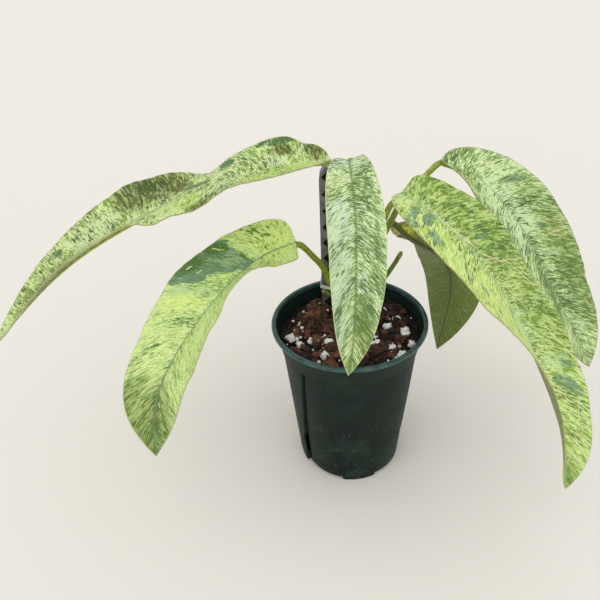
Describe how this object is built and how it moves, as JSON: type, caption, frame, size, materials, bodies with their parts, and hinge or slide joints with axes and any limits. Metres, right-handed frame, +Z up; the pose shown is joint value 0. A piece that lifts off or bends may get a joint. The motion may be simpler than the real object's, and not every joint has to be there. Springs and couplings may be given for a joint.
{
  "type": "potted variegated climbing aroid",
  "caption": "Climbing house plant with long marbled lance-shaped leaves, tied to a plastic lattice pole in a slit nursery pot filled with bark and perlite mix.",
  "frame": {"origin": "centre of the pot's base, on the surface that it stands on", "axes": "+Z up, +X along the widest spread of the leaves, -Y towards the side that leaf_c hangs over"},
  "size_m": [0.4441, 0.2027, 0.2739],
  "materials": {
    "pot_plastic": "dark green injection moulded plastic, satin lip",
    "bark_mix": "moist reddish bark chips with white perlite",
    "pole_plastic": "grey moulded lattice",
    "moss": "dark packed moss and coir fibre",
    "tie_tape": "white soft plant tape",
    "stem_green": "smooth green vine stem",
    "leaf_marbled": "satin leaf, yellow green marbled with dark green",
    "leaf_mint": "satin leaf, pale mint marbled with green",
    "leaf_olive": "dull olive green leaf underside"
  },
  "bodies": {
    "root": {"pot": "pot_plastic", "soil": "bark_mix", "pole_shell": "pole_plastic", "pole_core": "moss", "tie": "tie_tape", "stem": "stem_green", "leaf_a": "leaf_marbled", "leaf_b": "leaf_marbled", "leaf_c": "leaf_mint", "leaf_d": "leaf_marbled", "leaf_e": "leaf_mint", "leaf_f": "leaf_olive"}
  },
  "joints": []
}
